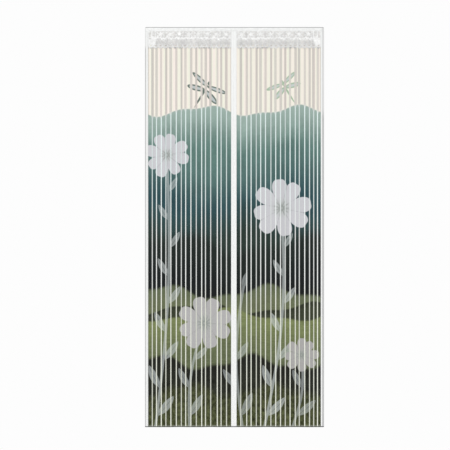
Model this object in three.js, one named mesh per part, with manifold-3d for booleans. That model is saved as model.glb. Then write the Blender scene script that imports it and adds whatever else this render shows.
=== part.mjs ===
// A magnetic screen door curtain: two striped net panels, bound in folded white tape,
// that hang from one heading tape and meet edge to edge at the parting. A scalloped
// lace valance is caught in the heading in front of each panel.
//
// Millimetres, +Z up, +X to the right as seen from the front, which faces -Y.
// The origin is the middle of the top edge, by which the curtain is held.

import * as THREE from 'three';
import { mergeVertices } from 'three/addons/utils/BufferGeometryUtils.js';
import Module from 'manifold-3d';

// Driving dimensions

const WIDTH = 895;
const HEIGHT = 2000;
const PARTING_X = -3.3;
const GAP = 0.3;

const NET_THICKNESS = 1.2;
const STRIPE_WIDTH = 8;
const STRIPE_RISE = 0.4;
const STRIPE_SLOPE = 1;
const HEM_DEPTH = 12;
const HEM_RISE = 0.5;
const HEM_SLOPE = 1;

const TAPE_THICKNESS = 1;
const SIDE_TAPE_WIDTH = 16;
const CENTRE_TAPE_WIDTH = 13.5;
const HEADING_DEPTH = 20;
const FOLD_STEPS = 6;

const LACE_THICKNESS = 1;
const LACE_DROP = 92;
const SCALLOP_DEPTH = 14;
const SCALLOP_CUSP = 2;
const SCALLOP_STEPS = 6;
const EYELET_RADIUS = 3.2;
const EYELET_DROP = 93;
const EYELET_SIDES = 8;
const LACE_RIPPLE = 3;
const LACE_RIPPLE_PITCH = 104;

// The woven stripes: the first one's place across the curtain, then the steps to the next ones.
const STRIPES = {
  left: { first: -411, steps: [21, 24, 23, 25, 27, 25, 22, 26, 27, 27, 19, 26, 33, 19, 27] },
  right: { first: 31, steps: [30, 22, 26, 22, 24, 27, 24, 24, 24, 24, 26, 20, 27, 24, 21, 19] },
};

// The soft flutes in which each panel hangs: depth front to back, flutes across the panel,
// how far the flutes lean sideways from top to hem, in flutes, and their phase in turns.
const FLUTES = {
  left: [
    { depth: 4.2, count: 2.6, lean: 0.18, phase: 0.1 },
    { depth: 1.8, count: 5.3, lean: -0.35, phase: 0.62 },
  ],
  right: [
    { depth: 3.8, count: 2.9, lean: -0.22, phase: 0.45 },
    { depth: 1.6, count: 4.7, lean: 0.3, phase: 0.2 },
  ],
};
const FLUTE_START = 125;
const FLUTE_FULL = 720;
const FLUTE_EDGE = 95;
const NET_ROW_STEP = 260;

// Derived sizes

const SIDE_SLOT = NET_THICKNESS + 2 * GAP;
const BACK_FACE_Y = SIDE_SLOT / 2 + TAPE_THICKNESS;
const LACE_BACK_Y = -(NET_THICKNESS / 2 + STRIPE_RISE + GAP);
const LACE_FRONT_Y = LACE_BACK_Y - LACE_THICKNESS;
const HEADING_SLOT = SIDE_SLOT / 2 - LACE_FRONT_Y + GAP;
const HEADING_FOLD_RADIUS = HEADING_SLOT / 2 + TAPE_THICKNESS;
const HEADING_Y = BACK_FACE_Y - HEADING_FOLD_RADIUS;
const SIDE_FOLD_RADIUS = SIDE_SLOT / 2 + TAPE_THICKNESS;
const CLOTH_TOP = HEADING_FOLD_RADIUS + GAP;
const TAPE_TOP = HEADING_DEPTH + GAP;

// Each panel's own edges, worked out from the curtain's width and the parting.
const PANELS = {
  left: { outer: -WIDTH / 2, inner: PARTING_X - GAP / 2, outward: -1 },
  right: { outer: WIDTH / 2, inner: PARTING_X + GAP / 2, outward: 1 },
};

const MATERIALS = {
  net: new THREE.MeshStandardMaterial({ color: 0x5f7f78, roughness: 0.85, metalness: 0 }),
  tape: new THREE.MeshStandardMaterial({ color: 0xf2f3f3, roughness: 0.7, metalness: 0 }),
  lace: new THREE.MeshStandardMaterial({ color: 0xe6e6e6, roughness: 0.8, metalness: 0 }),
};

const wasm = await Module();
wasm.setup();

// Shared geometry

/** Eases from 0 at low to 1 at high. */
function ease(low, high, value) {
  return THREE.MathUtils.smoothstep(value, low, high);
}

/**
 * A closed sheet of cloth. front and back give a point for each column and row;
 * columns run to the right and rows run down.
 */
function sheetGeometry(columnCount, rowCount, front, back) {
  const positions = [];
  for (const face of [front, back]) {
    for (let row = 0; row < rowCount; row++) {
      for (let column = 0; column < columnCount; column++) {
        positions.push(...face(column, row));
      }
    }
  }
  const onFront = (column, row) => row * columnCount + column;
  const onBack = (column, row) => rowCount * columnCount + onFront(column, row);
  const index = [];
  const quad = (a, b, c, d) => index.push(a, b, c, a, c, d);
  const lastColumn = columnCount - 1;
  const lastRow = rowCount - 1;
  for (let row = 0; row < lastRow; row++) {
    for (let column = 0; column < lastColumn; column++) {
      const corners = [[column, row], [column, row + 1], [column + 1, row + 1], [column + 1, row]];
      quad(...corners.map((corner) => onFront(...corner)));
      quad(...corners.reverse().map((corner) => onBack(...corner)));
    }
    quad(onFront(0, row), onBack(0, row), onBack(0, row + 1), onFront(0, row + 1));
    quad(
      onFront(lastColumn, row + 1),
      onBack(lastColumn, row + 1),
      onBack(lastColumn, row),
      onFront(lastColumn, row),
    );
  }
  for (let column = 0; column < lastColumn; column++) {
    quad(onFront(column, 0), onFront(column + 1, 0), onBack(column + 1, 0), onBack(column, 0));
    quad(
      onBack(column, lastRow),
      onBack(column + 1, lastRow),
      onFront(column + 1, lastRow),
      onFront(column, lastRow),
    );
  }
  const geometry = new THREE.BufferGeometry();
  geometry.setAttribute('position', new THREE.Float32BufferAttribute(positions, 3));
  geometry.setIndex(index);
  return geometry;
}

/** A tape folded in half, in section: a rounded fold at x = 0 and two legs to x = width. */
function foldedTapeSection(width, slot) {
  const inner = slot / 2;
  const outer = inner + TAPE_THICKNESS;
  const section = new THREE.Shape();
  section.moveTo(width, -outer);
  section.lineTo(width, -inner);
  section.lineTo(outer, -inner);
  section.absarc(outer, 0, inner, -Math.PI / 2, Math.PI / 2, true);
  section.lineTo(width, inner);
  section.lineTo(width, outer);
  section.lineTo(outer, outer);
  section.absarc(outer, 0, outer, Math.PI / 2, -Math.PI / 2, false);
  section.closePath();
  return section;
}

function foldedTapeGeometry(width, slot, length) {
  return new THREE.ExtrudeGeometry(foldedTapeSection(width, slot), {
    depth: length,
    curveSegments: FOLD_STEPS,
    bevelEnabled: false,
  });
}

function toSolid(geometry) {
  const bare = geometry.clone();
  bare.deleteAttribute('normal');
  bare.deleteAttribute('uv');
  const merged = mergeVertices(bare);
  return new wasm.Manifold(new wasm.Mesh({
    numProp: 3,
    vertProperties: new Float32Array(merged.attributes.position.array),
    triVerts: new Uint32Array(merged.index.array),
  }));
}

function toGeometry(solid) {
  const { vertProperties, triVerts } = solid.getMesh();
  const geometry = new THREE.BufferGeometry();
  geometry.setAttribute('position', new THREE.BufferAttribute(new Float32Array(vertProperties), 3));
  geometry.setIndex(new THREE.BufferAttribute(new Uint32Array(triVerts), 1));
  return geometry;
}

function namedMesh(name, geometry, material) {
  const mesh = new THREE.Mesh(geometry, material);
  mesh.name = name;
  return mesh;
}

// Net panels

function stripeCentres(side) {
  const { first, steps } = STRIPES[side];
  const centres = [first];
  for (const step of steps) centres.push(centres.at(-1) + step);
  return centres;
}

/** Where a panel's net starts and ends across the curtain, and where its tapes let go of it. */
function netSpan({ outer, inner, outward }) {
  const tuck = SIDE_FOLD_RADIUS + GAP;
  const edges = [outer - outward * tuck, inner + outward * tuck];
  const free = [outer - outward * SIDE_TAPE_WIDTH, inner + outward * CENTRE_TAPE_WIDTH];
  const inOrder = (a, b) => a - b;
  return { edges: edges.sort(inOrder), free: free.sort(inOrder) };
}

/** How far back the middle of the cloth hangs at a place across and down the panel. */
function fluteY(side, x, drop) {
  const [left, right] = netSpan(PANELS[side]).free;
  const fromTape = Math.max(0, Math.min(x - left, right - x));
  const share = ease(0, FLUTE_EDGE, fromTape) * ease(FLUTE_START, FLUTE_FULL, drop);
  const across = (x - left) / (right - left);
  const down = drop / HEIGHT;
  const wave = ({ depth, count, lean, phase }) =>
    depth * Math.sin(2 * Math.PI * (count * across + lean * down + phase));
  return share * FLUTES[side].reduce((sum, flute) => sum + wave(flute), 0);
}

/** Across the panel: flat in the tapes, then plain net with each stripe standing a little proud. */
function netColumns(side) {
  const { edges, free } = netSpan(PANELS[side]);
  const half = STRIPE_WIDTH / 2;
  const columns = [
    { x: edges[0], rise: 0, loose: 0 },
    { x: free[0], rise: 0, loose: 0 },
    { x: free[0] + HEM_SLOPE, rise: 0, loose: 1 },
  ];
  for (const centre of stripeCentres(side)) {
    columns.push(
      { x: centre - half - STRIPE_SLOPE, rise: 0, loose: 1 },
      { x: centre - half, rise: STRIPE_RISE, loose: 1 },
      { x: centre + half, rise: STRIPE_RISE, loose: 1 },
      { x: centre + half + STRIPE_SLOPE, rise: 0, loose: 1 },
    );
  }
  columns.push(
    { x: free[1] - HEM_SLOPE, rise: 0, loose: 1 },
    { x: free[1], rise: 0, loose: 0 },
    { x: edges[1], rise: 0, loose: 0 },
  );
  return columns;
}

/** Down the panel: the stripes are pressed flat in the heading, and the hem is doubled. */
function netRows() {
  const hemTop = HEIGHT - HEM_DEPTH;
  const rows = [
    { drop: CLOTH_TOP, stripe: 0, hem: 0 },
    { drop: HEADING_DEPTH + GAP, stripe: 0, hem: 0 },
    { drop: HEADING_DEPTH + GAP + STRIPE_SLOPE, stripe: 1, hem: 0 },
  ];
  for (let drop = FLUTE_START; drop < hemTop - NET_ROW_STEP / 2; drop += NET_ROW_STEP) {
    rows.push({ drop, stripe: 1, hem: 0 });
  }
  rows.push(
    { drop: hemTop - HEM_SLOPE, stripe: 1, hem: 0 },
    { drop: hemTop, stripe: 1, hem: 1 },
    { drop: HEIGHT, stripe: 1, hem: 1 },
  );
  return rows;
}

function netPanel(side) {
  const columns = netColumns(side);
  const rows = netRows();
  const face = (facing) => (column, row) => {
    const { x, rise, loose } = columns[column];
    const { drop, stripe, hem } = rows[row];
    const half = NET_THICKNESS / 2 + rise * stripe + HEM_RISE * hem * loose;
    return [x, fluteY(side, x, drop) + facing * half, -drop];
  };
  const geometry = sheetGeometry(columns.length, rows.length, face(-1), face(1));
  return namedMesh(`net_${side}`, geometry, MATERIALS.net);
}

// Lace valance

function laceSpan(side) {
  const [left, right] = netSpan(PANELS[side]).free;
  const span = { left: left + GAP, right: right - GAP };
  const scallops = stripeCentres(side).length + 1;
  return { ...span, scallops, pitch: (span.right - span.left) / scallops };
}

/** A scallop's lower edge is a round arch between two cusps; share runs from 0 to 1 across it. */
function scallopDrop(share) {
  const arch = Math.sqrt(Math.max(0, 1 - (2 * share - 1) ** 2));
  return LACE_DROP + SCALLOP_CUSP + (SCALLOP_DEPTH - SCALLOP_CUSP) * arch;
}

/** The free lower edge of the lace ripples forward; the top is held flat in the heading. */
function laceRippleY(x, drop) {
  const share = ease(HEADING_DEPTH, LACE_DROP, drop);
  return -LACE_RIPPLE * share * (0.5 - 0.5 * Math.cos((2 * Math.PI * x) / LACE_RIPPLE_PITCH));
}

function eyelet(x) {
  const reach = 2 * (LACE_RIPPLE + LACE_THICKNESS);
  const cutter = new THREE.CylinderGeometry(EYELET_RADIUS, EYELET_RADIUS, 2 * reach, EYELET_SIDES);
  cutter.translate(x, LACE_BACK_Y, -EYELET_DROP);
  return toSolid(cutter);
}

function laceValance(side) {
  const { left, scallops, pitch } = laceSpan(side);
  const columnCount = scallops * SCALLOP_STEPS + 1;
  const fixedDrops = [CLOTH_TOP, HEADING_DEPTH, LACE_DROP];
  const face = (faceY) => (column, row) => {
    const x = left + (column * pitch) / SCALLOP_STEPS;
    const share = (column % SCALLOP_STEPS) / SCALLOP_STEPS;
    const drop = row < fixedDrops.length ? fixedDrops[row] : scallopDrop(share);
    return [x, faceY + laceRippleY(x, drop), -drop];
  };
  const rowCount = fixedDrops.length + 1;
  const cloth = sheetGeometry(columnCount, rowCount, face(LACE_FRONT_Y), face(LACE_BACK_Y));
  let solid = toSolid(cloth);
  for (let scallop = 0; scallop < scallops; scallop++) {
    solid = solid.subtract(eyelet(left + (scallop + 0.5) * pitch));
  }
  return namedMesh(`lace_${side}`, toGeometry(solid), MATERIALS.lace);
}

// Tapes

/** A tape down a panel's side, folded round the edge of the net below the heading. */
function uprightTape(name, foldX, width, outward) {
  const length = HEIGHT - TAPE_TOP;
  const tape = namedMesh(name, foldedTapeGeometry(width, SIDE_SLOT, length), MATERIALS.tape);
  const upsideDown = outward > 0;
  tape.rotation.z = upsideDown ? Math.PI : 0;
  tape.position.set(foldX, 0, -HEIGHT);
  return tape;
}

/** One tape over both panels' top edges, which holds the curtain together. */
function headingTape() {
  const geometry = foldedTapeGeometry(HEADING_DEPTH, HEADING_SLOT, WIDTH);
  const tape = namedMesh('heading_tape', geometry, MATERIALS.tape);
  const legsDown = new THREE.Vector3(0, 0, -1);
  const thickness = new THREE.Vector3(0, 1, 0);
  const along = new THREE.Vector3(1, 0, 0);
  tape.quaternion.setFromRotationMatrix(new THREE.Matrix4().makeBasis(legsDown, thickness, along));
  tape.position.set(-WIDTH / 2, HEADING_Y, 0);
  return tape;
}

// The curtain

function curtainPanel(side) {
  const { outer, inner, outward } = PANELS[side];
  const panel = new THREE.Group();
  panel.add(
    netPanel(side),
    laceValance(side),
    uprightTape(`side_tape_${side}`, outer, SIDE_TAPE_WIDTH, outward),
    uprightTape(`centre_tape_${side}`, inner, CENTRE_TAPE_WIDTH, -outward),
  );
  return panel;
}

const curtain = new THREE.Group();
curtain.add(headingTape(), curtainPanel('left'), curtainPanel('right'));

export default curtain;
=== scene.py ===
"""The looks of a striped screen door curtain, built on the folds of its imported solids.

Sizes are in millimetres until a mesh is made, where they become metres. x runs to the right, drop runs
down from the top edge and y runs to the back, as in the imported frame. The front faces -y.
"""

import math

import bpy
import numpy as np
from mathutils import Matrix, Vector


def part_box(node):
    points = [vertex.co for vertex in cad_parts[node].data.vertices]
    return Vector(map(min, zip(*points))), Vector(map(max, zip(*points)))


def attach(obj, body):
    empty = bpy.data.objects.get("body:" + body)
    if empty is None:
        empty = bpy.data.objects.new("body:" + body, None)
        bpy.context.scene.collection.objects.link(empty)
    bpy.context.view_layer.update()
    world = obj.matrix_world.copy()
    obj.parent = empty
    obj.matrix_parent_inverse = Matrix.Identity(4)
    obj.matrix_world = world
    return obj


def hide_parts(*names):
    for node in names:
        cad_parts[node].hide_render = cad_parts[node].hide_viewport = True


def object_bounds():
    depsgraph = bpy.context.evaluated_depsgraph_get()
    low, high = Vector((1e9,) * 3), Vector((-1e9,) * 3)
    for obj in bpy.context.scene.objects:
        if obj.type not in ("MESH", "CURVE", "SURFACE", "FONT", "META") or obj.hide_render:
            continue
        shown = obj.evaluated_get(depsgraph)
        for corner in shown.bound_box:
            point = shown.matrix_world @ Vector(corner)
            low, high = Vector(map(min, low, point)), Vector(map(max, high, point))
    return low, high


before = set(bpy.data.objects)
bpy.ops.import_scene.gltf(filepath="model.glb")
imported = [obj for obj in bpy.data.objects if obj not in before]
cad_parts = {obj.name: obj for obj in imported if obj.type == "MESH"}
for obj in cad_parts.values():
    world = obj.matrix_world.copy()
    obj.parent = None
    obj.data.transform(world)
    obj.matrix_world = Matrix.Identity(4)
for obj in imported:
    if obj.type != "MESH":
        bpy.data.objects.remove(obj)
cad_low, cad_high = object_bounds()

MM = 0.001
BODY = "root"
SIDES = ("left", "right")
HEIGHT = -cad_low.z / MM
GAP = 0.3

# Net: its thickness, the raised stripes and the doubled hem
NET_HALF = 0.6
STRIPE_RISE = 0.4
STRIPE_SHOULDER = 3.6
STRIPE_FOOT = 5.0
STRIPE_PROFILE = ((-STRIPE_FOOT, 0.0), (-STRIPE_SHOULDER, 0.9), (0.0, 1.0), (STRIPE_SHOULDER, 0.9),
                  (STRIPE_FOOT, 0.0))
STRIPE_COVER = 0.96
GAP_COLUMNS = 2
# Painted shade of the raised cords on the cream: each grey band's half width, how much it varies and how far
# it shifts from its cord
CORD_SHADE_HALF = 5.7
CORD_SHADE_VARY = 0.8
CORD_SHADE_SHIFT = 1.5
TONE_VARY = 0.14
HEM_DEPTH = 12.0
HEM_TOP = HEIGHT - HEM_DEPTH
HEM_RISE = 0.5
HEM_SLOPE = 1.0
NET_ROW_STEP = 5.4
YARN_PITCH = 1.9
TWIST_PITCH = 2.6
PUCKER = 0.45
PUCKER_PITCH = 41.0
PUCKER_REACH = 46.0

# The woven stripes: the first one's place across the curtain, then the steps to the next ones.
STRIPES = {
    "left": (-411, (21, 24, 23, 25, 27, 25, 22, 26, 27, 27, 19, 26, 33, 19, 27)),
    "right": (31, (30, 22, 26, 22, 24, 27, 24, 24, 24, 24, 26, 20, 27, 24, 21, 19)),
}

# The soft flutes in which each panel hangs: depth, flutes across, lean from top to hem, phase in turns.
FLUTES = {
    "left": ((4.2, 2.6, 0.18, 0.1), (1.8, 5.3, -0.35, 0.62)),
    "right": ((3.8, 2.9, -0.22, 0.45), (1.6, 4.7, 0.3, 0.2)),
}
FLUTE_START = 125.0
FLUTE_FULL = 720.0
FLUTE_EDGE = 95.0

# Lace valance
LACE_DROP = 92.0
SCALLOP_DEPTH = 14.0
SCALLOP_CUSP = 2.0
EYELET_DROP = 93.0
EYELET_RADIUS = 3.2
LACE_RIPPLE = 3.0
LACE_RIPPLE_PITCH = 104.0
LACE_MIDDLE_Y = -1.8
LACE_HALF = 0.28
MESH_PITCH = 4.4
MESH_HOLE = 0.48
LACE_HEM = 38.0
LACE_HEM_TAPER = {"left": 2.0, "right": 9.0}
LACE_BAND = 3.6
INNER_CORD_DROP = 86.0
INNER_CORD_DEPTH = 15.0
LACE_HEM_WHITE = {"left": 0.5, "right": 0.85}
# The openwork ladders of the turned ends: start and end from the outer side, and lower end
LACE_LADDERS = ((4, 14, 62), (20, 34, 46))
# Straight cords across the lace: drop and width
LACE_LINES = ((25.0, 1.6), (62.0, 1.4), (86.0, 1.2))
# Worked motifs: half lengths and half widths, and how they repeat
LACE_FLOWER_DROP = 35.5
LACE_PETALS = 5
LACE_PETAL_REACH = 6.2
LACE_PETAL = (5.2, 4.0)
LACE_HEART = (2.4, 2.4)
LACE_LEAF = (6.0, 3.0)
LACE_LEAF_PLACES = ((28, 17.0), (152, 17.0), (-24, 16.5), (204, 16.5))
LACE_LEAF_POINT = 0.45
LACE_DOT = (1.9, 1.9)
LACE_DOT_PLACES = ((-0.33, 68), (0.0, 74), (0.33, 68), (-0.17, 82), (0.17, 82), (0.5, 76))
GARLAND_LEAVES = 7
PICOT_PLACES = (-0.34, -0.17, 0.0, 0.17, 0.34)
PICOT_RADIUS = 1.3
TIER_PITCH = 46.0
GARLAND_DROP = 55.0
GARLAND_SWING = 1.8

# Tapes and stitches
TAPE_THICKNESS = 1.0
TAPE_STEP = 12.0
TAPE_YARN_PITCH = 0.9
FOLD_STEPS = 10
LEG_STEPS = 8
STITCH_PITCH = 4.2
STITCH_LENGTH = 3.1
STITCH_WIDTH = 0.75
STITCH_HEIGHT = 0.4
STITCH_SIDES = 5
STITCH_SHOULDER = 0.55
STITCH_INSET = 2.3
HEADING_STITCH_INSETS = (STITCH_INSET, 2.6 * STITCH_INSET)
HEM_STITCH_INSET = 4.5
# The radius of the round corners at a tape's first and last ends
HEADING_CORNERS = (7.0, 7.0)
SIDE_CORNERS = (0.0, 3.5)
CENTRE_CORNERS = (0.0, 0.0)

# Printed blossoms: the middle, the petals' reach, the first petal's turn in degrees, and paleness.
BLOSSOMS = (
    {"x": 235, "drop": 905, "reach": 150, "turn": 9, "pale": 1.0},
    {"x": -338, "drop": 640, "reach": 113, "turn": 30, "pale": 1.0},
    {"x": -150, "drop": 1480, "reach": 138, "turn": 17, "pale": 0.35},
    {"x": 335, "drop": 1640, "reach": 88, "turn": 2, "pale": 0.15},
)
PETALS = 8
PETAL_HALF = 0.24
PETAL_NOTCH = 0.1
HEART = 0.34
STAMENS = 11
PETAL_LINE_PITCH = 0.21

# Printed leaf sprays that rise from the hem: where the stem ends and starts, its sideways bow, and the
# print's strength.
SPRAYS = (
    {"tip_x": 235, "tip_drop": 905, "foot_x": 150, "bow": 45, "strength": 0.5},
    {"tip_x": -338, "tip_drop": 640, "foot_x": -395, "bow": 35, "strength": 0.45},
    {"tip_x": -150, "tip_drop": 1480, "foot_x": -225, "bow": -30, "strength": 0.4},
    {"tip_x": 335, "tip_drop": 1640, "foot_x": 290, "bow": 25, "strength": 0.36},
    {"tip_x": 50, "tip_drop": 1270, "foot_x": 40, "bow": -36, "strength": 0.36},
)
STEM_WIDTH = 13.0
LEAF_STEP = 140.0
LEAF_CLEAR = 150.0
LEAF_LENGTH = 135.0
LEAF_HALF = 0.15
LEAF_TURN = 40.0
LEAF_CURL = 0.12
VEIN_PITCH = 9.0
VEIN_SLANT = 0.8

# Printed dragonflies: the middle, the way that the head points in degrees, size and paleness.
DRAGONFLIES = (
    {"x": -150, "drop": 320, "turn": 58, "size": 170, "pale": 0.0},
    {"x": 255, "drop": 305, "turn": 122, "size": 150, "pale": 1.0},
)
# A dragonfly's pairs of wings, in shares of its size: place along the body, way out from it in degrees, half
# length and half width.
WINGS = ((0.16, 78, 0.3, 0.07), (0.03, 107, 0.27, 0.085))
# What is drawn for each wing: the field, and shares of the wing's length and width
WING_SHAPES = (("wing", 1.0, 1.0), ("wing_patch", 0.8, 0.5))

# Waved layers of the shaded ground, from the top down: where each starts, its wave's height, length and
# phase, the softness of its upper edge, and its colours at the top and the bottom.
LAYERS = (
    (418, 22, 470, 0.4, 4, (156, 176, 168), (96, 126, 119)),
    (640, 44, 760, 2.2, 50, (92, 121, 116), (50, 78, 84)),
    (915, 36, 590, 4.0, 40, (52, 77, 79), (48, 60, 55)),
    (1085, 40, 680, 1.0, 36, (40, 47, 44), (31, 34, 35)),
    (1325, 30, 520, 2.7, 10, (98, 106, 82), (106, 113, 86)),
    (1405, 24, 560, 0.3, 5, (52, 56, 45), (62, 67, 52)),
    (1440, 28, 640, 5.1, 6, (120, 129, 87), (100, 108, 80)),
    (1675, 32, 480, 3.6, 12, (38, 39, 35), (44, 46, 39)),
    (1815, 30, 410, 1.9, 25, (66, 70, 48), (79, 84, 56)),
)
# The smaller wave on each layer's wave: how much faster and lower it runs
SECOND_WAVE_RATE = 2.3
SECOND_WAVE_SHARE = 0.4
# Down the curtain, where the ground's clouds and streaks set in, the streaks fade and the speckles grow
CLOUD_ZONE = (400, 520)
STREAK_ZONE = (1300, 1440)
STREAK_FADE = (1820, 1700)
SPECKLE_ZONE = (1700, 1860)
# Where the light cords turn from cool to white, and from white to warm
CORD_WHITE_ZONE = (700, 1050)
CORD_WARM_ZONE = (1250, 1400)

# Screen colours of 0 to 255
COLOURS = {
    "cream_pink": (247, 236, 228), "cream_green": (240, 240, 224), "leaf": (199, 206, 205),
    "petal_grey": (165, 163, 160), "petal_pale": (203, 203, 207), "petal_seam": (112, 118, 117),
    "throat": (168, 178, 168), "stamen": (128, 134, 130),
    "wing_dark": (104, 118, 110), "wing_pale": (168, 190, 164), "wing_patch": (205, 211, 212),
    "cord_cool": (238, 250, 249), "cord_white": (247, 249, 247), "cord_warm": (242, 244, 231),
    # Painted shade: the grey bands on the cream, the dark foot of the hem, the tapes' grey folds and dark
    # lower ends, the grey lace at the scallops' feet, and the thread's darker grooves
    "cord_shade_pink": (218, 210, 204), "cord_shade_green": (214, 211, 203),
    "hem_light": (200, 204, 190), "hem_foot_shade": (96, 98, 92),
    "tape": (246, 247, 246), "tape_shade_grey": (160, 160, 161), "tape_foot_shade": (104, 104, 106),
    "lace": (228, 228, 227), "lace_worked": (252, 252, 251), "lace_shaded": (150, 149, 147),
    "thread_dark": (226, 226, 228), "thread_light": (244, 244, 245),
    "floor_dark": (236, 236, 236), "floor_light": (242, 242, 242), "backdrop": (253, 253, 253),
}

# Camera: the frame's width at the curtain, the place of the frame's middle, and a long lens
FRAME_WIDTH = 2250.0
FRAME_MIDDLE = (-47.5, -989.5)
LENS = 170.0
SENSOR = 36.0
FLOOR_DROP = 2400.0
FLOOR_RADIUS = 2000.0
FLOOR_SIDES = 96
# Soft lights, in metres and watts: name, place, size and power. All face the middle of the curtain.
LIGHTS = (
    ("key", (-3.2, -5.0, 0.8), 3.0, 150),
    ("fill", (3.6, -5.0, -0.6), 3.5, 80),
    ("back", (-1.5, 5.0, 0.8), 3.5, 150),
)
LIGHT_TARGET = (0.0, 0.0, -1.0)
SKY_STRENGTH = 0.53


# Shared shapes

def ease(low, high, value):
    share = np.clip((value - low) / (high - low), 0, 1)
    return share * share * (3 - 2 * share)


def turns(count):
    """Angles evenly round a circle."""
    return np.arange(count) * 2 * math.pi / count


def turned(right, up, degrees):
    """Places along and across a line that points some degrees up from the right."""
    angle = math.radians(degrees)
    return right * math.cos(angle) + up * math.sin(angle), up * math.cos(angle) - right * math.sin(angle)


def node_box(node):
    """A solid's lowest and highest corners, in millimetres."""
    low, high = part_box(node)
    return np.array(low) / MM, np.array(high) / MM


class Panel:
    """Where one panel's cloth starts and ends, and where its two tapes let go of it."""

    def __init__(self, side):
        low, high = node_box(f"net_{side}")
        tapes = [node_box(f"side_tape_{side}"), node_box(f"centre_tape_{side}")]
        tapes.sort(key=lambda box: box[0][0])
        self.side = side
        self.edges = low[0], high[0]
        self.free = tapes[0][1][0], tapes[1][0][0]
        self.top = -high[2]
        self.outer_is_left = side == "left"
        first, steps = STRIPES[side]
        self.stripes = first + np.concatenate([[0], np.cumsum(steps)])

    def from_tape(self, x):
        """How far points lie from the nearer tape."""
        return np.maximum(0, np.minimum(x - self.free[0], self.free[1] - x))


class Shells:
    """Gathers closed shells of points and faces, to be made into one mesh."""

    def __init__(self):
        self.points = []
        self.faces = []
        self.marks = []
        self.count = 0

    def add(self, points, *faces, mark=0.0):
        """Adds one shell, turned so that its faces point out, with a mark for all or each of its points."""
        points = np.asarray(points, float).reshape(-1, 3)
        inside_out = shell_volume(points, faces) < 0
        for face in faces:
            face = np.asarray(face, int)
            self.faces.append((face[:, ::-1] if inside_out else face) + self.count)
        self.points.append(points)
        self.marks.append(np.broadcast_to(mark, len(points)))
        self.count += len(points)


def shell_volume(points, faces):
    """Six times the volume that a shell closes in, negative if its faces point in."""
    middle = points - points.mean(axis=0)
    total = 0.0
    for face in faces:
        corners = middle[np.asarray(face, int)]
        for k in range(1, corners.shape[1] - 1):
            total += np.einsum("ij,ij->", corners[:, 0], np.cross(corners[:, k], corners[:, k + 1]))
    return total


def grid_index(rows, columns):
    return np.arange(rows * columns).reshape(rows, columns)


def wrapped(index):
    """The same grid with its first column again after its last."""
    return np.concatenate([index, index[:, :1]], axis=1)


def grid_faces(index):
    corners = (index[:-1, :-1], index[1:, :-1], index[1:, 1:], index[:-1, 1:])
    return np.stack(corners, axis=-1).reshape(-1, 4)


def closed_sheet(shells, front, back):
    """A sheet with a front, a back and a rim, from two grids of points."""
    rows, columns = front.shape[:2]
    near = grid_index(rows, columns)
    far = near + rows * columns
    rim = [np.concatenate([i[:, 0], i[-1, 1:], i[-2::-1, -1], i[0, -2:0:-1]]) for i in (near, far)]
    onward = [np.roll(loop, -1) for loop in rim]
    walls = np.stack([rim[0], rim[1], onward[1], onward[0]], axis=-1)
    points = np.concatenate([front.reshape(-1, 3), back.reshape(-1, 3)])
    shells.add(points, grid_faces(near), grid_faces(far)[:, ::-1], walls)


def closed_tube(shells, path, width, height, sides, looped=False, mark=1.0):
    """A tube with an oval section along a path that lies on the front of the cloth."""
    mark = np.repeat(np.broadcast_to(mark, len(path)), sides)
    if looped:
        tangent = np.roll(path, -1, axis=0) - np.roll(path, 1, axis=0)
    else:
        tangent = np.gradient(path, axis=0)
    tangent /= np.linalg.norm(tangent, axis=1, keepdims=True)
    across = np.cross(tangent, (0.0, -1.0, 0.0))
    across /= np.linalg.norm(across, axis=1, keepdims=True)
    out = np.cross(across, tangent)
    turn = turns(sides)[:, None]
    rings = (path[:, None] + across[:, None] * width / 2 * np.cos(turn)
             + out[:, None] * height / 2 * np.sin(turn))
    index = wrapped(grid_index(len(path), sides))
    if looped:
        index = np.concatenate([index, index[:1]])
        shells.add(rings, grid_faces(index), mark=mark)
    else:
        shells.add(rings, grid_faces(index), index[:1, sides - 1::-1], index[-1:, :sides], mark=mark)


def make_piece(name, shells, material, sharp=50):
    """One Blender object of the gathered shells, which rides on the curtain."""
    points = np.concatenate(shells.points) * MM
    corners = np.concatenate([face.ravel() for face in shells.faces])
    sizes = np.concatenate([np.full(len(face), face.shape[1]) for face in shells.faces])
    mesh = bpy.data.meshes.new(name)
    mesh.vertices.add(len(points))
    mesh.vertices.foreach_set("co", points.astype(np.float32).ravel())
    mesh.loops.add(len(corners))
    mesh.loops.foreach_set("vertex_index", corners.astype(np.int32))
    mesh.polygons.add(len(sizes))
    mesh.polygons.foreach_set("loop_start", (np.cumsum(sizes) - sizes).astype(np.int32))
    mesh.polygons.foreach_set("use_smooth", np.ones(len(sizes), bool))
    mesh.update(calc_edges=True)
    mesh.validate()
    mesh.set_sharp_from_angle(angle=math.radians(sharp))
    mesh.materials.append(material)
    piece = bpy.data.objects.new(name, mesh)
    bpy.context.scene.collection.objects.link(piece)
    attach(piece, BODY)
    return piece


def set_field(piece, name, values):
    attribute = piece.data.attributes.new(name, "FLOAT", "POINT")
    attribute.data.foreach_set("value", np.asarray(values, np.float32).ravel())


# Shader nodes

def linear(colour):
    """A screen colour of 0 to 255 as the linear colour that a shader takes."""
    share = np.array(colour, float) / 255
    return (*np.where(share <= 0.04045, share / 12.92, ((share + 0.055) / 1.055) ** 2.4), 1.0)


def ink(name):
    """A named colour as a shader takes it."""
    return linear(COLOURS[name])


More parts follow.
